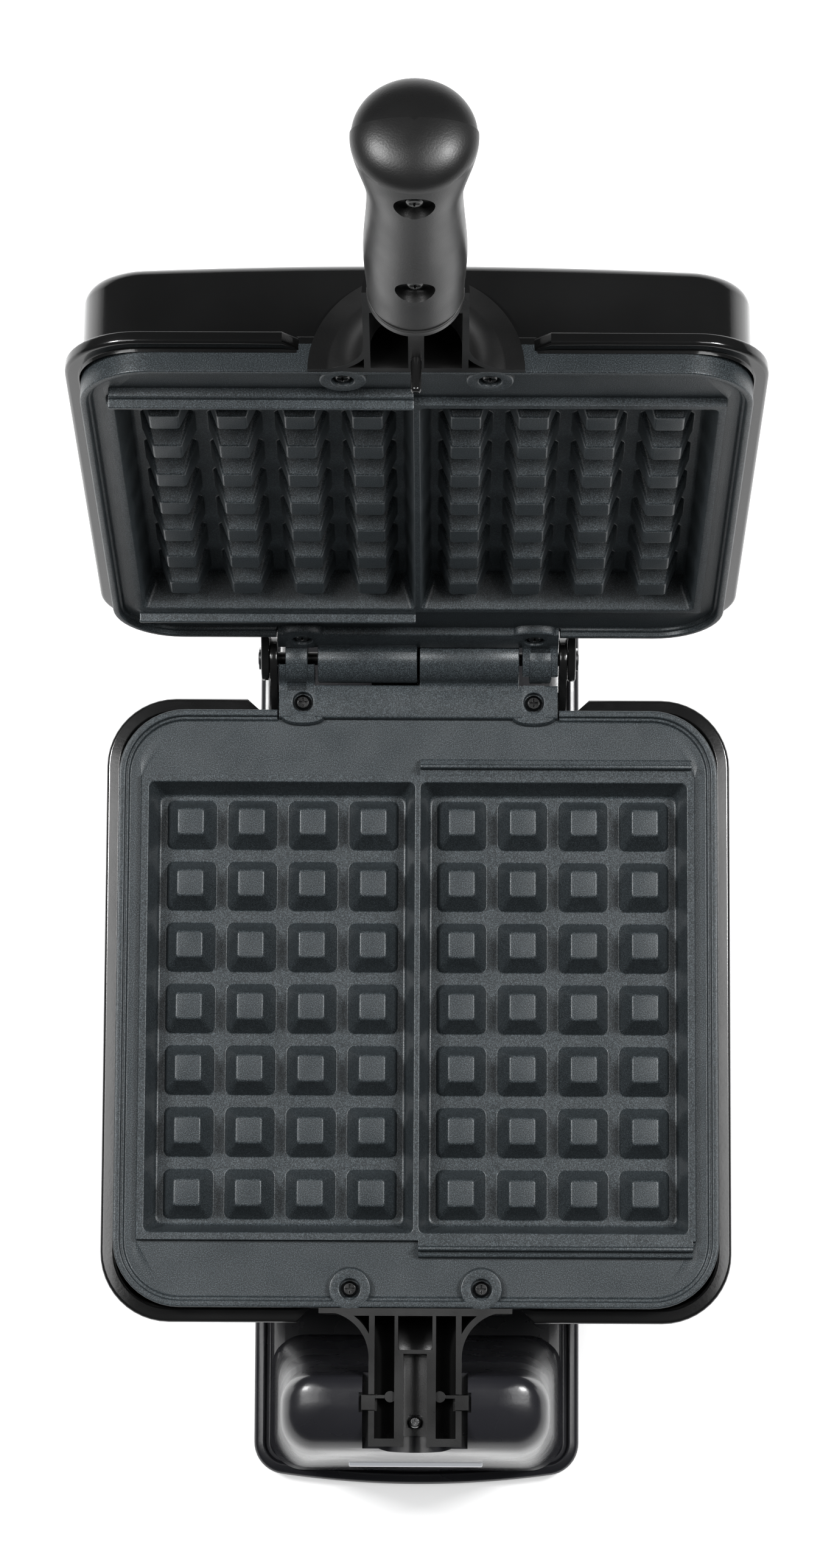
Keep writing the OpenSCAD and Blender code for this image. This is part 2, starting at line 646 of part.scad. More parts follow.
// Matt underside of the handle, the side that faces the hand when the lid is open
module handle_grip() {
    color("#38383b") lid() difference() {
        intersection() {
            handle_solid(0);
            block([-40, -handle_end - 5, -40], [40, -grip_start - 3, seam_z]);
        }
        rod_y(-262.2, -160, core_r + 0.1);
        for (h = [199, 254]) {
            rod_z(-30, -handle_r(h) + 5.2, 6.3, 0, -h);
            rod_z(-20, 0.5, 1.7, 0, -h);
        }
    }
}
module handle_back_shell() {
    color("#17171a") lid() difference() {
        intersection() {
            handle_solid(0);
            block([-40, -handle_end - 5, seam_z + 0.1], [40, -grip_start, 40]);
        }
        rod_y(-262.2, -160, core_r + 0.1);
        for (h = [199, 254]) rod_z(0, 12.5, 1.5, 0, -h);
    }
}
module handle_screws() {
    color("#4a4b4e") lid() for (h = [199, 254])
        translate([0, -h, -handle_r(h) + 5.2]) mirror([0, 0, 1]) screw(2.8, 1.4, 1.45, 18);
}

base_housing();
base_bottom_cover();
base_cover_screws();
foot_front_left();
foot_front_right();
foot_rear_left();
foot_rear_right();
indicator_lens();
pilot_lamp_red();
pilot_lamp_green();
terminal_block();
rear_cover();
rear_cover_screws();
cable_gland();
swivel_bush();
swivel_shaft();
swivel_clip();
swivel_bracket();
bracket_screws();
lower_housing();
lower_plate();
lower_plate_screws();
lower_heating_element();
lower_reflector();
lower_thermostat();
thermal_fuse();
lower_neck();
neck_screw();
lock_slide_left();
lock_slide_right();
hinge_pin();
hinge_pin_rings();
upper_housing();
upper_plate();
upper_plate_screws();
upper_heating_element();
upper_reflector();
upper_thermostat();
upper_neck();
lock_peg();
handle_core();
handle_collar();
handle_grip();
handle_back_shell();
handle_screws();
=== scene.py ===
"""Rotary waffle maker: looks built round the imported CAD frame."""

import json
import math

import bmesh
import bpy
from mathutils import Euler, Matrix, Vector


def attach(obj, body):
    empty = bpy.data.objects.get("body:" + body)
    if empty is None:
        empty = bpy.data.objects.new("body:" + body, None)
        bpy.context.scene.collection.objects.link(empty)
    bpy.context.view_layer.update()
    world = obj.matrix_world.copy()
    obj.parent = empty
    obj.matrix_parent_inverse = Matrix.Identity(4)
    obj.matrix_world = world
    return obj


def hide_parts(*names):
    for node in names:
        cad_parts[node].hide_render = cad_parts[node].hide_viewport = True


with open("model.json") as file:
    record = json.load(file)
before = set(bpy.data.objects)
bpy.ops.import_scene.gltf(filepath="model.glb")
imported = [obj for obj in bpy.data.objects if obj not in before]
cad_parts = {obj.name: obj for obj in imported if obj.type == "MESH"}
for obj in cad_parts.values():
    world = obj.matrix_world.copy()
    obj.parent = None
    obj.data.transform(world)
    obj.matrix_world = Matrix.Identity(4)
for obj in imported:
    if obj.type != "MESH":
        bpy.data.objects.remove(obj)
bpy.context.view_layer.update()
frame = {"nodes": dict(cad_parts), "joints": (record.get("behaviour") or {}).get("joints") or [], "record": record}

MM = 0.001
SHARP = math.radians(38)  # edges sharper than this stay crisp
# The plate centre on the parting plane, found from the hinge joint
hinge = Vector(next(j["pos_m"] for j in frame["joints"] if j["name"] == "lid_hinge"))
HINGE_Y = 132  # millimetres behind the plate centre
centre = hinge - Vector((0, HINGE_Y * MM, 0))
LID_OPEN = math.radians(103)
head = Matrix.Translation(centre)
lid = Matrix.Translation(hinge) @ Matrix.Rotation(-LID_OPEN, 4, "X") @ Matrix.Translation(centre - hinge)
twin = lid @ Matrix.Rotation(math.pi, 4, "Y")

# ---------- camera ----------
CAMERA_FROM_CENTRE = (0.009, -0.1705, 1.7606)  # metres
CAMERA_TURN = (8.231, 0.246, 0.276)  # degrees about X, Y and Z; looks almost straight down
LENS_MM = 108.18
cam_data = bpy.data.cameras.new("camera")
camera = bpy.data.objects.new("camera", cam_data)
bpy.context.scene.collection.objects.link(camera)
bpy.context.scene.camera = camera
camera.location = centre + Vector(CAMERA_FROM_CENTRE)
camera.rotation_euler = Euler([math.radians(turn) for turn in CAMERA_TURN], "XYZ")
cam_data.sensor_fit = "VERTICAL"
cam_data.sensor_height = 36
cam_data.lens = LENS_MM
cam_data.clip_end = 20


# ---------- materials ----------
class Nodes:
    """A material's node tree with short calls for adding and joining nodes."""

    def __init__(self, name):
        self.material = bpy.data.materials.new(name)
        self.material.use_nodes = True
        self.tree = self.material.node_tree
        self.shader = self.tree.nodes["Principled BSDF"]

    def add(self, kind, **values):
        node = self.tree.nodes.new("ShaderNode" + kind)
        for key, value in values.items():
            if hasattr(node, key):
                setattr(node, key, value)
            else:
                node.inputs[key.replace("_", " ").title()].default_value = value
        return node

    def join(self, source, target):
        self.tree.links.new(source, target)

    def coords(self):
        return self.add("TexCoord").outputs["Object"]

    def noise(self, scale, detail=2.0, roughness=0.5):
        node = self.add("TexNoise")
        node.inputs["Scale"].default_value = scale
        node.inputs["Detail"].default_value = detail
        node.inputs["Roughness"].default_value = roughness
        self.join(self.coords(), node.inputs["Vector"])
        return node.outputs["Fac"]

    def ramp(self, source, stops):
        node = self.add("ValToRGB")
        elements = node.color_ramp.elements
        while len(elements) < len(stops):
            elements.new(0.5)
        for element, (place, colour) in zip(elements, stops):
            element.position = place
            element.color = (*colour, 1) if len(colour) == 3 else colour
        self.join(source, node.inputs["Fac"])
        return node.outputs["Color"]

    def span(self, source, low, high, start=0.0, end=1.0):
        node = self.add("MapRange")
        for name, value in (("From Min", start), ("From Max", end), ("To Min", low), ("To Max", high)):
            node.inputs[name].default_value = value
        self.join(source, node.inputs["Value"])
        return node.outputs["Result"]

    def bump(self, source, strength, distance):
        node = self.add("Bump")
        node.inputs["Strength"].default_value = strength
        node.inputs["Distance"].default_value = distance
        self.join(source, node.inputs["Height"])
        self.join(node.outputs["Normal"], self.shader.inputs["Normal"])

    def set(self, **values):
        for key, value in values.items():
            socket = self.shader.inputs[key.replace("_", " ")]
            socket.default_value = (*value, 1) if isinstance(value, tuple) and len(value) == 3 else value


def grey(v, tint=(1, 1, 1)):
    return (v * tint[0], v * tint[1], v * tint[2])


def moulded(name, dark, light, rough, grain=900, bump=0.06, coat=0.0, specular=0.5):
    """Moulded plastic: faint shade variation, uneven gloss and a fine surface grain."""
    m = Nodes(name)
    m.set(Coat_Weight=coat, Coat_Roughness=0.08, Specular_IOR_Level=specular)
    cloud = m.noise(14, 4)
    m.join(m.ramp(cloud, [(0.3, dark), (0.7, light)]), m.shader.inputs["Base Color"])
    m.join(m.span(m.noise(45, 5), rough * 0.8, rough * 1.25, 0.3, 0.7), m.shader.inputs["Roughness"])
    m.bump(m.noise(grain, 2), bump, 0.0004)
    return m.material


def metal(name, dark, light, rough, metallic=1.0, grain=600, bump=0.05):
    m = Nodes(name)
    m.set(Metallic=metallic)
    m.join(m.ramp(m.noise(60, 6, 0.6), [(0.3, dark), (0.7, light)]), m.shader.inputs["Base Color"])
    m.join(m.span(m.noise(120, 4), rough * 0.75, rough * 1.3, 0.3, 0.7), m.shader.inputs["Roughness"])
    m.bump(m.noise(grain, 3), bump, 0.0002)
    return m.material


def nonstick_coating():
    """Sprayed coating: blue-grey with a fine worm-like metal speckle over a faint mottle."""
    m = Nodes("nonstick_coating")
    m.set(Metallic=0.1, Specular_IOR_Level=0.42)
    base = m.ramp(m.noise(30, 5, 0.6), [(0.3, (0.033, 0.040, 0.044)), (0.7, (0.042, 0.050, 0.055))])
    fleck = m.ramp(m.noise(2800, 3, 0.6), [(0.40, (0.5, 0.5, 0.5)), (0.52, (1.0, 1.0, 1.0)), (0.64, (2.4, 2.4, 2.4))])
    mix = m.add("Mix")
    mix.data_type = "RGBA"
    mix.blend_type = "MULTIPLY"
    mix.inputs["Factor"].default_value = 1.0
    m.join(base, mix.inputs["A"])
    m.join(fleck, mix.inputs["B"])
    m.join(mix.outputs["Result"], m.shader.inputs["Base Color"])
    m.join(m.span(m.noise(80, 4), 0.30, 0.40, 0.3, 0.7), m.shader.inputs["Roughness"])
    m.bump(m.noise(2200, 2), 0.25, 0.0002)
    return m.material


materials = {
    "gloss_black": moulded("gloss_black_plastic", grey(0.006), grey(0.011), 0.16, bump=0.04, coat=0.3),
    "satin_black": moulded("satin_black_plastic", (0.016, 0.016, 0.019), (0.021, 0.021, 0.025), 0.27,
                           bump=0.05, coat=0.15),
    "charcoal": moulded("matt_charcoal_plastic", grey(0.009), grey(0.012), 0.36, grain=1600, bump=0.10),
    "matt_shell": moulded("matt_black_plastic", grey(0.008), grey(0.010), 0.33, grain=1600, bump=0.08),
    "nonstick": nonstick_coating(),
    "dark_screw": metal("dark_plated_screw", grey(0.07), grey(0.12), 0.25),
    "dark_pin": metal("oiled_steel", grey(0.03), grey(0.05), 0.4),
    "steel": metal("bright_steel", grey(0.45), grey(0.6), 0.25),
    "element": metal("heat_tinted_steel", (0.22, 0.19, 0.17), (0.36, 0.33, 0.31), 0.4),
    "aluminium": metal("rolled_aluminium", grey(0.62), grey(0.78), 0.3),
    "rubber": moulded("black_rubber", grey(0.014), grey(0.022), 0.7, grain=2200, bump=0.2),
    # painted highlight: the clear window is given a pale grey colour so its thin edge reads as a bright line
    "lens": moulded("clear_window_painted_highlight", grey(0.55), grey(0.7), 0.12, bump=0.02, coat=0.8),
    "red_lamp": moulded("red_lamp_cap", (0.35, 0.02, 0.01), (0.5, 0.04, 0.02), 0.15),
    "green_lamp": moulded("green_lamp_cap", (0.03, 0.3, 0.06), (0.05, 0.45, 0.1), 0.15),
    "ceramic": moulded("cream_insulator", (0.62, 0.58, 0.47), (0.72, 0.68, 0.58), 0.5, bump=0.1),
    "bearing": moulded("white_nylon", (0.66, 0.65, 0.6), (0.74, 0.73, 0.68), 0.4),
}
# Painted highlight: this faint white glow, with the window's pale grey colour, stands in for the light caught along its
# thin edge.
lens_painted_glow_shader = materials["lens"].node_tree.nodes["Principled BSDF"]
lens_painted_glow_shader.inputs["Emission Color"].default_value = (0.9, 0.93, 1.0, 1)
lens_painted_glow_shader.inputs["Emission Strength"].default_value = 0.35
slot_of = {s["node"]: s["material_slot"] for s in frame["record"]["subparts"]}
body_of = {n: b for b, ns in frame["record"]["behaviour"]["bodies"].items() for n in ns}


def dress(obj, slot):
    obj.data.materials.clear()
    obj.data.materials.append(materials[slot])
    return obj


for name, node in frame["nodes"].items():
    node.data.materials.clear()
    node.data.materials.append(materials[slot_of[name]])


# ---------- mesh building, in millimetres round the plate centre ----------
class Build:
    """Collects vertices and faces, then makes one smooth-shaded piece of them."""

    def __init__(self):
        self.verts, self.faces = [], []

    def points(self, ring):
        start = len(self.verts)
        self.verts.extend(ring)
        return list(range(start, start + len(ring)))

    def bridge(self, a, b, closed=True):
        last = len(a) if closed else len(a) - 1
        for i in range(last):
            j = (i + 1) % len(a)
            self.faces.append((a[i], a[j], b[j], b[i]))

    def loft(self, rings, closed=True, cap_start=False, cap_end=False):
        ids = [self.points(r) for r in rings]
        for a, b in zip(ids, ids[1:]):
            self.bridge(a, b, closed)
        if cap_start:
            self.faces.append(tuple(reversed(ids[0])))
        if cap_end:
            self.faces.append(tuple(ids[-1]))
        return ids

    def piece(self, name, place, slot, body, *nodes, sharp=38, weld=1e-5):
        mesh = bpy.data.meshes.new(name)
        mesh.from_pydata([Vector(v) * MM for v in self.verts], [], self.faces)
        return add_piece(mesh, name, place, slot, body, *nodes, sharp=sharp, weld=weld)


def add_piece(mesh, name, place, slot, body, *nodes, sharp=38, weld=1e-5):
    bm = bmesh.new()
    bm.from_mesh(mesh)
    bmesh.ops.remove_doubles(bm, verts=bm.verts, dist=weld)
    bmesh.ops.recalc_face_normals(bm, faces=bm.faces)
    bm.to_mesh(mesh)
    bm.free()
    mesh.shade_smooth()
    mesh.set_sharp_from_angle(angle=math.radians(sharp))
    obj = bpy.data.objects.new(name, mesh)
    bpy.context.scene.collection.objects.link(obj)
    obj.matrix_world = place
    dress(obj, slot)
    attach(obj, body)
    if nodes:
        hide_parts(*nodes)
    return obj


def rounded(points, radii, steps=4):
    """A polyline with its inner corners rounded; radii holds one number for each point."""
    out = [points[0]]
    for i in range(1, len(points) - 1):
        p = Vector(points[i])
        a, b = Vector(points[i - 1]) - p, Vector(points[i + 1]) - p
        r = radii[i]
        if r <= 0:
            out.append(tuple(p))
            continue
        half = a.angle(b) / 2
        cut = min(r / math.tan(half), a.length * 0.49, b.length * 0.49)
        r = cut * math.tan(half)
        start, end = p + a.normalized() * cut, p + b.normalized() * cut
        middle = p + (a.normalized() + b.normalized()).normalized() * (r / math.sin(half))
        u, v = start - middle, end - middle
        sweep = u.angle(v)
        for k in range(steps + 1):
            t = k / steps
            w = (u * math.sin((1 - t) * sweep) + v * math.sin(t * sweep)) / math.sin(sweep)
            out.append(tuple(middle + w))
    out.append(points[-1])
    return out


def rect_ring(cx, cy, hx, hy, r, z, corner=6, stops_x=(), stops_y=()):
    """Points round a rectangle with round corners, with extra points at the stops on its straight sides."""
    r = max(r, 0.02)
    out = []
    sides = (
        (0, [(hx, y) for y in sorted(stops_y)]),
        (1, [(x, hy) for x in sorted(stops_x, reverse=True)]),
        (2, [(-hx, y) for y in sorted(stops_y, reverse=True)]),
        (3, [(x, -hy) for x in sorted(stops_x)]),
    )
    for quarter, stops in sides:
        out.extend((cx + x, cy + y, z) for x, y in stops)
        sx, sy = ((1, 1), (-1, 1), (-1, -1), (1, -1))[quarter]
        mx, my = sx * (hx - r), sy * (hy - r)
        for k in range(corner + 1):
            a = math.radians(90 * quarter + 90 * k / corner)
            out.append((cx + mx + r * math.cos(a), cy + my + r * math.sin(a), z))
    return out


# ---------- cooking plate ----------
PLATE_HALF = (113, 112.5, 25)
LIP_Z, FIELD_Z, RIB_Z, FLOOR_Z, CELL_Z = -0.25, -3.2, -0.2, -13.8, -1.8
PITCH = (23, 23.3)
CELLS = (4, 7)
CAVITY_X, CAVITY_Y = (1.1, 101.5), 84.8
PAN = (104.2, 87.5)
FRONT_SCREWS = ((-24.5, -105.6), (24.5, -105.6))
REAR_SCREWS = ((-43.7, 115.4), (43.7, 115.4))
BARREL_R, BOSS_R = 9.2, 7.8
TAB_HALF, TAB_FRONT, TAB_REAR, TAB_LOW = 52.7, 109.5, 122, -8.2
CELLS_MID = 51.2  # middle of each waffle's block of cells


def cell(build, cx, cy):
    """One truncated pyramid on its square of the waffle grid, every edge rounded."""
    profile = rounded([(9.9, FLOOR_Z), (9.3, FLOOR_Z), (5.0, CELL_Z), (0.0, CELL_Z)], (0, 1.1, 0.9, 0), 4)
    rings = [rect_ring(cx, cy, PITCH[0] / 2, PITCH[1] / 2, 0.02, FLOOR_Z, 5)]
    for half, z in profile[:-1]:
        up = (z - FLOOR_Z) / (CELL_Z - FLOOR_Z)
        rings.append(rect_ring(cx, cy, half, half, 2.6 - 1.4 * up, z, 5))
    ids = build.loft(rings)
    build.faces.append(tuple(ids[-1]))


def cavity_and_land(build, side):
    """One waffle pocket, from the top of its sealing rib down to the edge of the cells."""
    cx = side * (CAVITY_X[0] + CAVITY_X[1]) / 2
    hx, hy = (CAVITY_X[1] - CAVITY_X[0]) / 2, CAVITY_Y
    first = side * CELLS_MID
    land = (PAN[0] / 2, PAN[1])
    profile = rounded([(-0.8, RIB_Z), (0, RIB_Z), (3.3, FLOOR_Z), (5.2, FLOOR_Z)], (0, 0.7, 1.4, 0), 5)
    rings = [rect_ring(side * land[0], 0, land[0], land[1], 0.02, RIB_Z, 6)]
    for inset, z in profile[1:-1]:
        rings.append(rect_ring(cx, 0, hx - inset, hy - inset, 2.2 + inset * 0.25, z, 6))
    rings.append(rect_ring(first, 0, CELLS[0] * PITCH[0] / 2, CELLS[1] * PITCH[1] / 2, 0.02, FLOOR_Z, 6))
    build.loft(rings)
    for i in range(CELLS[0]):
        for j in range(CELLS[1]):
            cell(build, first + (i - (CELLS[0] - 1) / 2) * PITCH[0], (j - (CELLS[1] - 1) / 2) * PITCH[1])


def bar(build, outline, x0, x1, soft=0.5):
    """A moulding along X with the given (y, z) outline, its ends drawn in slightly."""
    n = len(outline)
    my = sum(p[0] for p in outline) / n
    mz = sum(p[1] for p in outline) / n

    def section(x, shrink):
        return [(x, my + (y - my) * shrink, mz + (z - mz) * shrink) for y, z in outline]
    build.loft([section(x0, 0.9), section(x0 + soft * 0.3, 0.97), section(x0 + soft, 1),
                section(x1 - soft, 1), section(x1 - soft * 0.3, 0.97), section(x1, 0.9)],
               cap_start=True, cap_end=True)


def sealing_bars(build):
    """The wider land, raised strip and ledge beside the right-hand waffle."""
    for s in (-1, 1):
        outline = rounded([(s * 87.0, -5), (s * 87.0, RIB_Z + 0.01), (s * 89.7, RIB_Z + 0.01), (s * 89.9, 3.0),
                           (s * 91.3, 3.0), (s * 91.6, -0.05), (s * 93.6, -0.05), (s * 94.1, FIELD_Z - 0.3),
                           (s * 94.1, -5)],
                          (0, 0.2, 0.3, 0.5, 0.5, 0.3, 0.6, 0.3, 0), 3)
        bar(build, outline, 0.9, 103.2)


def lathe_ring(cx, cy, r, z, n=40):
    return [(cx + r * math.cos(2 * math.pi * k / n), cy + r * math.sin(2 * math.pi * k / n), z) for k in range(n)]


def screw_boss(build, cx, cy, level):
    profile = rounded([(BOSS_R + 0.5, FIELD_Z), (BOSS_R, level), (3.85, level), (3.7, FIELD_Z - 0.1),
                       (0.4, FIELD_Z - 0.1)], (0, 0.7, 0.45, 0.2, 0), 4)
    build.loft([lathe_ring(cx, cy, r, z) for r, z in profile], cap_end=True)


def plate_mesh():
    build = Build()
    stops = (-53.4, -52.9, 0, 52.9, 53.4)
    profile = rounded([(0.3, -10.6), (0, -10.6), (0, LIP_Z), (2.4, LIP_Z), (2.6, -1.9), (3.7, -1.9),
                       (4.0, FIELD_Z), (6.5, FIELD_Z)], (0, 0, 0.6, 0.5, 0.3, 0.45, 0.6, 0), 4)
    rings = []
    for inset, z in profile:
        ring = rect_ring(0, 0, PLATE_HALF[0] - inset, PLATE_HALF[1] - inset, PLATE_HALF[2] - inset, z, 12, stops)
        # the rear lip gives way to the hinge tab
        rings.append([(x, y, min(z, FIELD_Z)) if y > 100 and abs(x) < 53.2 else (x, y, z) for x, y, z in ring])
    rings.append(rect_ring(0, 0, PAN[0] + 0.5, PAN[1] + 0.5, 0.6, FIELD_Z, 12, stops))
    rings.append(rect_ring(0, 0, PAN[0] + 0.25, PAN[1] + 0.25, 0.6, FIELD_Z + 0.25, 12, stops))
    rings.append(rect_ring(0, 0, PAN[0] + 0.0, PAN[1] + 0.0, 0.5, RIB_Z - 0.5, 12, stops))
    rings.append(rect_ring(0, 0, PAN[0] - 0.15, PAN[1] - 0.15, 0.4, RIB_Z - 0.12, 12, stops))
    rings.append(rect_ring(0, 0, PAN[0] - 0.5, PAN[1] - 0.5, 0.3, RIB_Z, 12, stops))
    build.loft(rings)
    for side in (-1, 1):
        cavity_and_land(build, side)
    sealing_bars(build)
    for x, y in FRONT_SCREWS:
        screw_boss(build, x, y, LIP_Z + 0.02)
    return build


def barrel_outline(r, last_y=None):
    """Cross-section of a hinge barrel with the web that runs on into the plate's tab."""
    out = [(119, -8.1)]
    for a in range(-112, 166, 8):
        y, z = HINGE_Y + r * math.cos(math.radians(a)), r * math.sin(math.radians(a))
        if last_y is not None and y > last_y:
            y = last_y
        out.append((y, z))
    out += [(122.9, 1.2), (122.3, 0.3), (121.4, -0.12), (119.8, LIP_Z + 0.02)]
    return out


def hinge_side(build):
    """The rear tab, its two screw bosses, and the barrel and lug cast in one with the plate."""
    tab = rounded([(TAB_FRONT - 0.6, FIELD_Z - 0.1), (TAB_FRONT, LIP_Z), (TAB_REAR, LIP_Z), (TAB_REAR, TAB_LOW),
                   (TAB_FRONT - 0.3, TAB_LOW)],
                  (0, 0.7, 0.8, 0.6, 0), 3)
    hole = 4.7
    left, right = REAR_SCREWS[0][0], REAR_SCREWS[1][0]
    for x0, x1 in ((-TAB_HALF, left - hole), (left + hole, right - hole), (right + hole, TAB_HALF)):
        build.loft([[(x, y, z) for y, z in tab] for x in (x0, x0 + 0.3, x1 - 0.3, x1)], cap_start=True, cap_end=True)
    for cx, cy in REAR_SCREWS:
        # the square of tab round each screw, with its counterbore, and the round boss in front of it
        n = 48
        square = []
        for k in range(n):
            a = 2 * math.pi * k / n
            c, s = math.cos(a), math.sin(a)
            reach = min(hole / max(abs(c), 1e-6), (TAB_REAR - cy if s > 0 else cy - TAB_FRONT) / max(abs(s), 1e-6))
            square.append((cx + c * reach, cy + s * reach))
        rings = [[(x, y, TAB_LOW) for x, y in square], [(x, y, LIP_Z) for x, y in square]]
        for r, z in rounded([(4.6, LIP_Z), (3.85, LIP_Z), (3.75, -3.3), (0.5, -3.3)], (0, 0.4, 0.2, 0), 3)[1:]:
            rings.append(lathe_ring(cx, cy, r, z, n))
        build.loft(rings, cap_end=True)
        front = []
        for k in range(25):
            a = math.pi + math.pi * k / 24
            front.append((cx + BOSS_R * math.cos(a), 109.6 + 2.6 * math.sin(a)))
        outer = [(cx + (BOSS_R + 0.5) * math.cos(math.pi + math.pi * k / 24),
                  109.6 + 3.1 * math.sin(math.pi + math.pi * k / 24), FIELD_Z) for k in range(25)]
        build.loft([outer, [(x, y, LIP_Z - 0.6) for x, y in front],
                    [(cx + (x - cx) * 0.95, 109.6 + (y - 109.6) * 0.8, LIP_Z + 0.02) for x, y in front]],
                   closed=False)
        top = build.points([(cx + (x - cx) * 0.95, 109.6 + (y - 109.6) * 0.8, LIP_Z + 0.02) for x, y in front])
        build.faces.append(tuple(top))
    r = BARREL_R
    for outline, x0, x1, soft in ((barrel_outline(r), 0.5, 38.0, 0.5), (barrel_outline(r), -50.2, -41.9, 0.5),
                                  (barrel_outline(r - 0.5, 128.5), -TAB_HALF, -39.2, 0.7)):
        build.loft([[(x, HINGE_Y + (y - HINGE_Y) * k, z * k) for y, z in outline] for x, k in
                    ((x0, 0.93), (x0 + soft * 0.3, 0.98), (x0 + soft, 1),
                     (x1 - soft, 1), (x1 - soft * 0.3, 0.98), (x1, 0.93))],
                   cap_start=True, cap_end=True)


plate = plate_mesh()
hinge_side(plate)
plate.piece("lower_cooking_plate", head, "nonstick", "base", "lower_plate")
plate.piece("upper_cooking_plate", twin, "nonstick", "lid", "upper_plate")

# ---------- housings ----------
FLANGE = (118.1, 117.9, 26)
BODY_IN = 5.8
BODY_Z, CROWN_START = -39.5, -20.0
LOWER_EAR_X, UPPER_EAR_X = 53.2, 56.4  # the lid's hinge ears stand outside the lower half's
EAR_T, EAR_R = 3, 8.3
CROWN_BOW, CROWN_RISE = 2.6, 0.9


def bow(x):
    """How far the outer face bulges at x, across the head's width."""
    return CROWN_BOW * max(0.0, 1 - (x / 100) ** 2)


def housing_mesh(ear_x):
    build = Build()
    stops = tuple(s * v for v in (0, 20, 39, 44.5, 59, 65, 80) for s in (-1, 1))
    profile = rounded([(5.0, -7.2), (4.6, -8.2), (0, -8.2), (0, -12.9), (BODY_IN, -12.9), (BODY_IN, BODY_Z),
                       (18, BODY_Z - 0.5)], (0, 0.2, 1.3, 1.3, 0.8, 7.5, 0), 5)
    rings = []
    for inset, z in profile:
        ring = rect_ring(0, 0, FLANGE[0] - inset, FLANGE[1] - inset, FLANGE[2] - inset * 0.95, z, 12, stops)
        out = []
        for x, y, zz in ring:
            # the flange stops short at the neck in front and at the hinge behind
            gap = (39, 44.5) if y < 0 else (59, 65)
            if zz < CROWN_START:
                zz -= bow(x) * min(1.0, (CROWN_START - zz) / (CROWN_START - BODY_Z))
            if abs(y) > 111 and abs(x) <= gap[1] and inset < BODY_IN:
                limit = FLANGE[1] - BODY_IN + 0.3
                if abs(x) <= gap[0] + 0.1:
                    y = math.copysign(min(abs(y), limit), y)
            out.append((x, y, zz))
        rings.append(out)
    for k in range(1, 12):
        left = 1 - k / 12
        ring = rect_ring(0, 0, (FLANGE[0] - 18) * left, (FLANGE[1] - 18) * left, 8.9 * left, 0, 12,
                         [x * left for x in stops])
        rings.append([(x, y, BODY_Z - 0.5 - bow(x) - CROWN_RISE * (1 - left ** 2)) for x, y, z in ring])
    ids = build.loft(rings)
    build.faces.append(tuple(ids[-1]))
    for s in (-1, 1):
        x0 = ear_x if s > 0 else -ear_x - EAR_T
        disc = [(HINGE_Y + EAR_R * math.cos(math.radians(a)), EAR_R * math.sin(math.radians(a)))
                for a in range(-100, 136, 8)]
        outline = [(110, -13.9)] + [(122, -13.9), (127, -11.5)] + disc + [(122.5, -1.2), (119, -3.5), (112, -8.3)]
        build.loft([[(x, 128 + (y - 128) * k, -4 + (z + 4) * k) for y, z in outline] for x, k in
                    ((x0, 0.94), (x0 + 0.25, 0.99), (x0 + 0.7, 1),
                     (x0 + EAR_T - 0.7, 1), (x0 + EAR_T - 0.25, 0.99), (x0 + EAR_T, 0.94))],
                   cap_start=True, cap_end=True)
    shelf = rounded([(111, -8.5), (121, -8.5), (121, -13.4), (111, -13.4)], (0, 0.8, 1.2, 0), 3)
    build.loft([[(x, y, z) for y, z in shelf] for x in (-ear_x - 2.5, ear_x + 2.5)], cap_start=True, cap_end=True)
    return build


housing_mesh(LOWER_EAR_X).piece("lower_casing", head, "gloss_black", "base", "lower_housing")
housing_mesh(UPPER_EAR_X).piece("upper_casing", twin, "gloss_black", "lid", "upper_housing")

# ---------- handle ----------
WAIST_R, KNOB_R, KNOB_H, TIP_H, GRIP_START = 14.9, 19.5, 272, 282, 170
SEAM, FLARE_H = 1.05, 266
ROOT_R, SWELL_R, SWELL_H, WAIST_H = 15.5, 16.4, 200, 238
WELL_HEIGHTS = (199, 254)


def ease(t):
    return (1 - math.cos(math.pi * t)) / 2


def handle_r(h):
    """The handle's radius at h forward of the plate centre: a slight swell, a waist, then the knob."""
    if h < SWELL_H:
        return ROOT_R + (SWELL_R - ROOT_R) * ease((h - GRIP_START) / (SWELL_H - GRIP_START))
    if h < WAIST_H:
        return SWELL_R - (SWELL_R - WAIST_R) * ease((h - SWELL_H) / (WAIST_H - SWELL_H))
    if h < KNOB_H:
        return WAIST_R + (KNOB_R - WAIST_R) * ease((h - WAIST_H) / (KNOB_H - WAIST_H))
    return KNOB_R * math.sqrt(max(0.0, 1 - ((h - KNOB_H) / (TIP_H - KNOB_H)) ** 2))


def under_r(h):
    """Depth of the handle's underside, which stays slim until it flares out to the knob."""
    if h >= KNOB_H:
        return handle_r(h)
    return min(handle_r(h), WAIST_R + (KNOB_R - WAIST_R) * max(0.0, (h - FLARE_H) / (KNOB_H - FLARE_H)) ** 1.3)


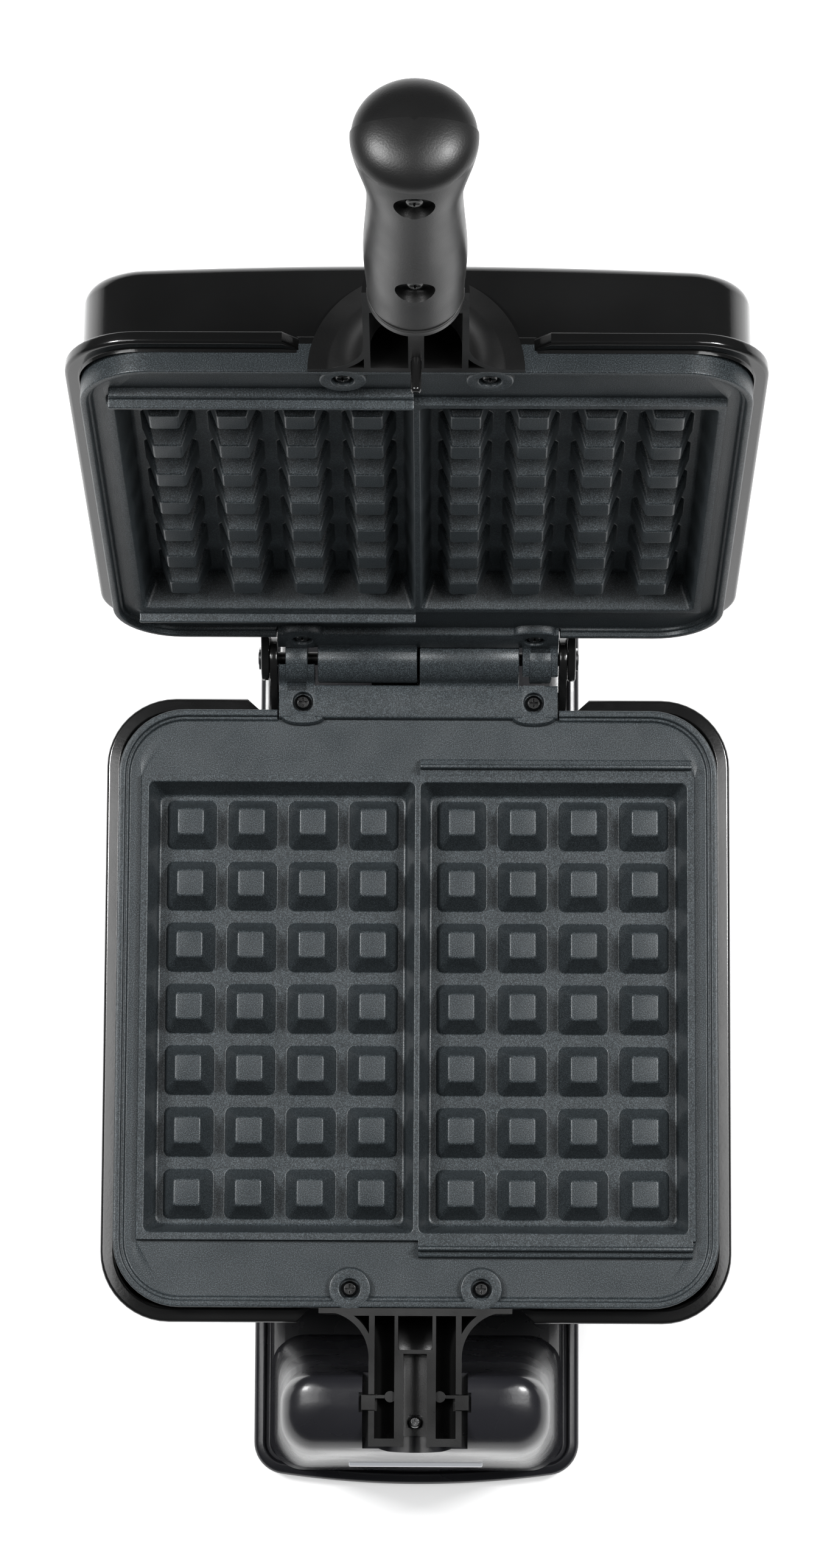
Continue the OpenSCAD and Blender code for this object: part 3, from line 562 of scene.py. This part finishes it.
def handle_shell(name, slot, underside, start, nodes):
    """One half of the handle, split along its length at the seam, with flat faces closing the split and the neck end.
    """
    heights = ([start + (KNOB_H - start) * k / 60 for k in range(61)]
               + [KNOB_H + (TIP_H - KNOB_H) * math.sin(math.radians(a)) for a in range(6, 91, 6)])
    build = Build()
    n = 40
    inset = 0.0 if underside else 0.35
    rings = []
    for h in heights:
        r = max(handle_r(h) - inset, 0.05)
        cut = math.asin(max(-1, min(1, SEAM / r))) if r > SEAM else math.pi / 2
        low, high = (math.pi - cut, 2 * math.pi + cut) if underside else (cut, math.pi - cut)
        squash = under_r(h) / handle_r(h) if underside and handle_r(h) > 0.1 else 1.0
        ring = []
        for k in range(n + 1):
            a = low + (high - low) * k / n
            z = r * math.sin(a)
            ring.append((r * math.cos(a), -h, z * squash if z < 0 else z))
        rings.append(ring)
    ids = build.loft(rings, closed=False)
    # the flat closing faces at the split and at the neck end
    for i in range(len(ids) - 1):
        build.faces.append((ids[i][0], ids[i + 1][0], ids[i + 1][-1], ids[i][-1]))
    build.faces.append(tuple(ids[0]))
    mesh = bpy.data.meshes.new(name)
    mesh.from_pydata([Vector(v) * MM for v in build.verts], [], build.faces)
    return add_piece(mesh, name, lid, slot, "lid", *nodes, sharp=26)


def carve(obj, cutters):
    """Cuts the cutters out of obj and removes them."""
    for cutter in cutters:
        bpy.context.scene.collection.objects.link(cutter)
        cut = obj.modifiers.new("cut", "BOOLEAN")
        cut.operation = "DIFFERENCE"
        cut.solver = "EXACT"
        cut.object = cutter
    bpy.context.view_layer.update()
    mesh = bpy.data.meshes.new_from_object(obj.evaluated_get(bpy.context.evaluated_depsgraph_get()))
    obj.modifiers.clear()
    obj.data = mesh
    for cutter in cutters:
        bpy.data.objects.remove(cutter)
    mesh.shade_smooth()
    mesh.set_sharp_from_angle(angle=SHARP)


def cutter_piece(build, place):
    mesh = bpy.data.meshes.new("cutter")
    mesh.from_pydata([Vector(v) * MM for v in build.verts], [], build.faces)
    bm = bmesh.new()
    bm.from_mesh(mesh)
    bmesh.ops.remove_doubles(bm, verts=bm.verts, dist=1e-5)
    bmesh.ops.recalc_face_normals(bm, faces=bm.faces)
    bm.to_mesh(mesh)
    bm.free()
    obj = bpy.data.objects.new("cutter", mesh)
    obj.matrix_world = place
    return obj


grip = handle_shell("handle_grip_shell", "charcoal", True, GRIP_START + 3, ("handle_grip",))
wells = []
for h in WELL_HEIGHTS:
    well = Build()
    depth = under_r(h)
    well.loft([lathe_ring(0, -h, r, z, 48) for r, z in
               ((7.1, -depth - 6), (6.4, -depth + 0.5), (6.2, -depth + 3.4), (5.6, -depth + 4.6), (4.4, -depth + 5.2))],
              cap_start=True, cap_end=True)
    wells.append(cutter_piece(well, lid))
carve(grip, wells)
handle_shell("handle_back_shell_finished", "matt_shell", False, GRIP_START, ("handle_back_shell",))

# ---------- base ----------
BASE_HALF, BASE_FRONT, BASE_REAR = 64.5, -178.0, 216.0
FLOOR_Z_BASE = -134.0
FOOT = 3.0
BOW, CORNER = 380.0, 13.0


def base_ring(inset, z, corner=10):
    """The base's outline on the table: round corners, and a front edge that bows gently outward."""
    r = max(CORNER - inset, 1)
    cx = BASE_HALF - CORNER
    bow_y = BOW + BASE_FRONT
    front_y = bow_y - math.sqrt((BOW - CORNER) ** 2 - cx ** 2)
    rear_y = BASE_REAR - CORNER
    lean = math.degrees(math.asin(cx / (BOW - CORNER)))

    def arc(x, y, radius, a0, a1, steps):
        return [(x + radius * math.cos(math.radians(a0 + (a1 - a0) * k / steps)),
                 y + radius * math.sin(math.radians(a0 + (a1 - a0) * k / steps)), z) for k in range(steps + 1)]
    return (arc(cx, rear_y, r, 0, 90, corner) + arc(-cx, rear_y, r, 90, 180, corner)
            + arc(-cx, front_y, r, 180, 270 - lean, corner)
            + arc(0, bow_y, BOW - inset, 270 - lean, 270 + lean, 24)[1:-1]
            + arc(cx, front_y, r, 270 + lean, 360, corner))


def base_mesh():
    build = Build()
    low = FLOOR_Z_BASE + FOOT
    deck = low + 9
    profile = rounded([(3, low), (0.6, low), (0, low + 6.4), (4.2, low + 7.4), (5.0, low + 5.6), (6.6, low + 5.6),
                       (7.4, deck - 0.8), (12, deck)],
                      (0, 1.0, 2.6, 0.8, 0.5, 0.5, 1.2, 0), 5)
    rings = [base_ring(inset, z) for inset, z in profile]
    ids = build.loft(rings)
    build.faces.append(tuple(reversed(ids[0])))
    build.faces.append(tuple(ids[-1]))
    return build


def pedestal_mesh():
    """Front pedestal: flared foot, near-upright walls and a softly domed top."""
    build = Build()
    low = FLOOR_Z_BASE + FOOT + 8.5
    levels = (  # height, half width, front, rear, corner radius
        (low, 57.4, -172.4, -119.0, 13), (low + 1.5, 56.6, -172.0, -119.6, 13),
        (low + 5, 55.6, -171.5, -120.4, 13), (low + 20, 54.4, -170.8, -122.4, 13),
        (low + 40, 53.4, -169.8, -125.6, 13), (low + 60, 52.4, -168.9, -128.8, 13),
        (low + 80, 51.4, -167.9, -131.8, 13), (-34, 51.0, -167.2, -133.4, 13),
        (-22, 50.5, -166.4, -134.9, 13), (-15, 50.0, -165.4, -135.8, 12.5),
        (-11, 49.3, -164.0, -136.4, 12), (-8, 48.2, -161.9, -136.9, 11),
        (-6, 46.8, -159.4, -137.4, 9.5), (-4.4, 44.8, -156.4, -138.1, 7.5),
        (-3.2, 42.0, -153.2, -139.2, 5.4), (-2.4, 38.0, -150.4, -140.8, 3.6),
        (-2.0, 32.0, -148, -143, 1.6))
    rings = []
    for z, hx, y0, y1, r in levels:
        reach = hx - r
        stops = [max(-reach, min(reach, x)) for x in (-30, -19, 0, 19, 30)]
        rings.append(rect_ring(0, (y0 + y1) / 2, hx, (y1 - y0) / 2, r, z, 10, stops))
    ids = build.loft(rings, cap_start=True)
    build.faces.append(tuple(ids[-1]))
    return build


base_mesh().piece("base_foot_plate", head, "satin_black", "base", "base_housing")
pedestal = pedestal_mesh().piece("base_front_pedestal", head, "satin_black", "base")
CRADLE_R, CRADLE_HALF, CRADLE_Y = 18.1, 19.6, (-190, -100)  # the open channel the neck lies in
channel = Build()
channel.loft([[(CRADLE_R * math.cos(2 * math.pi * k / 64), y, CRADLE_R * math.sin(2 * math.pi * k / 64))
               for k in range(64)] for y in CRADLE_Y],
             cap_start=True, cap_end=True)
notches = []
for s in (-1, 1):
    notch = Build()
    notch.loft([[(s * x, y, z) for x, y in ((16, -151.0), (20.9, -151.0), (20.9, -143.7), (16, -143.7))]
                for z in (-5.4, 5)],
               cap_start=True, cap_end=True)
    notches.append(cutter_piece(notch, head))
gap = Build()
gap.loft([[(x, y, z) for x, z in ((-CRADLE_HALF, -12), (CRADLE_HALF, -12), (CRADLE_HALF, 6), (-CRADLE_HALF, 6))]
          for y in CRADLE_Y],
         cap_start=True, cap_end=True)
carve(pedestal, [cutter_piece(channel, head), cutter_piece(gap, head)] + notches)


COLUMN_FRONT, COLUMN_REAR = 181.5, 211
COLUMN_R, COLUMN_FOOT = 23.8, 46


def column_mesh():
    """Rear column that carries the swivel bush, narrowing upward to a round top."""
    build = Build()
    low = FLOOR_Z_BASE + FOOT + 5
    r = COLUMN_R
    outline = [(r * math.cos(math.pi * k / 24), r * math.sin(math.pi * k / 24)) for k in range(25)]
    outline += [(-r - (COLUMN_FOOT - r) * t, low * t) for t in (0.25, 0.5, 0.75, 1.0)]
    outline += [(r + (COLUMN_FOOT - r) * t, low * t) for t in (1.0, 0.75, 0.5, 0.25)]

    def section(y, inset):
        return [(x * (1 - inset / max(abs(x), 12) if abs(x) > 1 else 1), y, z - (inset if z > 0 else 0))
                for x, z in outline]
    build.loft([section(COLUMN_FRONT, 1.6), section(COLUMN_FRONT + 0.5, 0.6),
                section(COLUMN_FRONT + 1.6, 0), section(COLUMN_REAR, 0)],
               cap_start=True, cap_end=True)
    return build


column_mesh().piece("base_rear_column", head, "satin_black", "base")

# ---------- softened edges ----------
def finish_mesh(obj, width, segments, angle=30):
    """Rounds the sharp edges of obj and shades it smooth."""
    bevel = obj.modifiers.new("edge", "BEVEL")
    bevel.width = width
    bevel.segments = segments
    bevel.limit_method = "ANGLE"
    bevel.angle_limit = math.radians(angle)
    bevel.use_clamp_overlap = True
    obj.data.shade_smooth()
    bpy.context.view_layer.update()
    evaluated = obj.evaluated_get(bpy.context.evaluated_depsgraph_get())
    mesh = bpy.data.meshes.new_from_object(evaluated)
    obj.modifiers.clear()
    obj.data = mesh
    mesh.shade_smooth()
    mesh.set_sharp_from_angle(angle=SHARP)
    weighted = obj.modifiers.new("normals", "WEIGHTED_NORMAL")
    weighted.keep_sharp = True
    weighted.weight = 60
    return obj


def soften(node, width=0.0004, segments=2, angle=30):
    """A new piece with the outline of a CAD node, its edges rounded as a casting's or moulding's are."""
    source = frame["nodes"][node]
    mesh = source.data.copy()
    bm = bmesh.new()
    bm.from_mesh(mesh)
    bmesh.ops.remove_doubles(bm, verts=bm.verts, dist=2e-6)
    bmesh.ops.dissolve_limit(bm, angle_limit=math.radians(0.6), verts=bm.verts, edges=bm.edges)
    bm.to_mesh(mesh)
    bm.free()
    obj = bpy.data.objects.new(node + "_finished", mesh)
    bpy.context.scene.collection.objects.link(obj)
    finish_mesh(obj, width, segments, angle)
    dress(obj, slot_of[node])
    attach(obj, body_of[node])
    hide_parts(node)
    return obj


EDGES = {
    "rear_cover": (0.0008, 2), "base_bottom_cover": (0.0004, 2),
    "lower_neck": (0.0005, 2), "upper_neck": (0.0005, 2), "lock_peg": (0.0003, 2),
    "handle_collar": (0.0004, 2),
    "swivel_bracket": (0.0008, 2), "lower_plate_screws": (0.00012, 2), "upper_plate_screws": (0.00012, 2),
    "lock_slide_left": (0.0003, 2), "lock_slide_right": (0.0003, 2), "hinge_pin": (0.0004, 2),
    "neck_screw": (0.0001, 2), "handle_screws": (0.0002, 2), "rear_cover_screws": (0.0002, 2),
    "indicator_lens": (0.0006, 3), "cable_gland": (0.0005, 2),
}
LOOKS = {"hinge_pin": "dark_pin", "lower_neck": "matt_shell", "upper_neck": "matt_shell",
         "lock_slide_left": "matt_shell", "lock_slide_right": "matt_shell"}
for name, (width, segments) in EDGES.items():
    softened = soften(name, width, segments)
    if name in LOOKS:
        dress(softened, LOOKS[name])

# ---------- floor and light ----------
stage_mesh = bpy.data.meshes.new("floor")
stage_bm = bmesh.new()
bmesh.ops.create_grid(stage_bm, x_segments=1, y_segments=1, size=6)
stage_bm.to_mesh(stage_mesh)
stage_bm.free()
floor = bpy.data.objects.new("floor", stage_mesh)
bpy.context.scene.collection.objects.link(floor)
paper = Nodes("pale_paper")
paper.set(Base_Color=(0.93, 0.93, 0.93), Roughness=0.9, Specular_IOR_Level=0.1,
          Emission_Color=(1.0, 1.0, 1.0), Emission_Strength=0.5)
floor.data.materials.append(paper.material)

world = bpy.data.worlds.new("studio")
bpy.context.scene.world = world
world.use_nodes = True
world.node_tree.nodes["Background"].inputs["Color"].default_value = (0.9, 0.95, 1, 1)
world.node_tree.nodes["Background"].inputs["Strength"].default_value = 0.04
bpy.context.scene.view_settings.view_transform = "Standard"


def softbox(name, place, target, size, power):
    light = bpy.data.lights.new(name, "AREA")
    light.shape = "RECTANGLE"
    light.size, light.size_y = size
    light.energy = power
    lamp = bpy.data.objects.new(name, light)
    bpy.context.scene.collection.objects.link(lamp)
    lamp.location = centre + Vector(place)
    aim = centre + Vector(target) - lamp.location
    lamp.rotation_euler = aim.to_track_quat("-Z", "Y").to_euler()
    return lamp


softbox("overhead_left", (-1.05, 0.2, 2.1), (0, 0, 0), (0.8, 1.2), 14)
softbox("overhead_right", (1.05, 0.2, 2.1), (0, 0, 0), (0.8, 1.2), 14)
softbox("rear_left", (-1.1, 0.42, 1.53), (0, 0.1, 0.2), (0.34, 0.34), 20)
softbox("rear_right", (1.0, 0.42, 1.6), (0, 0.1, 0.2), (0.34, 0.34), 19)
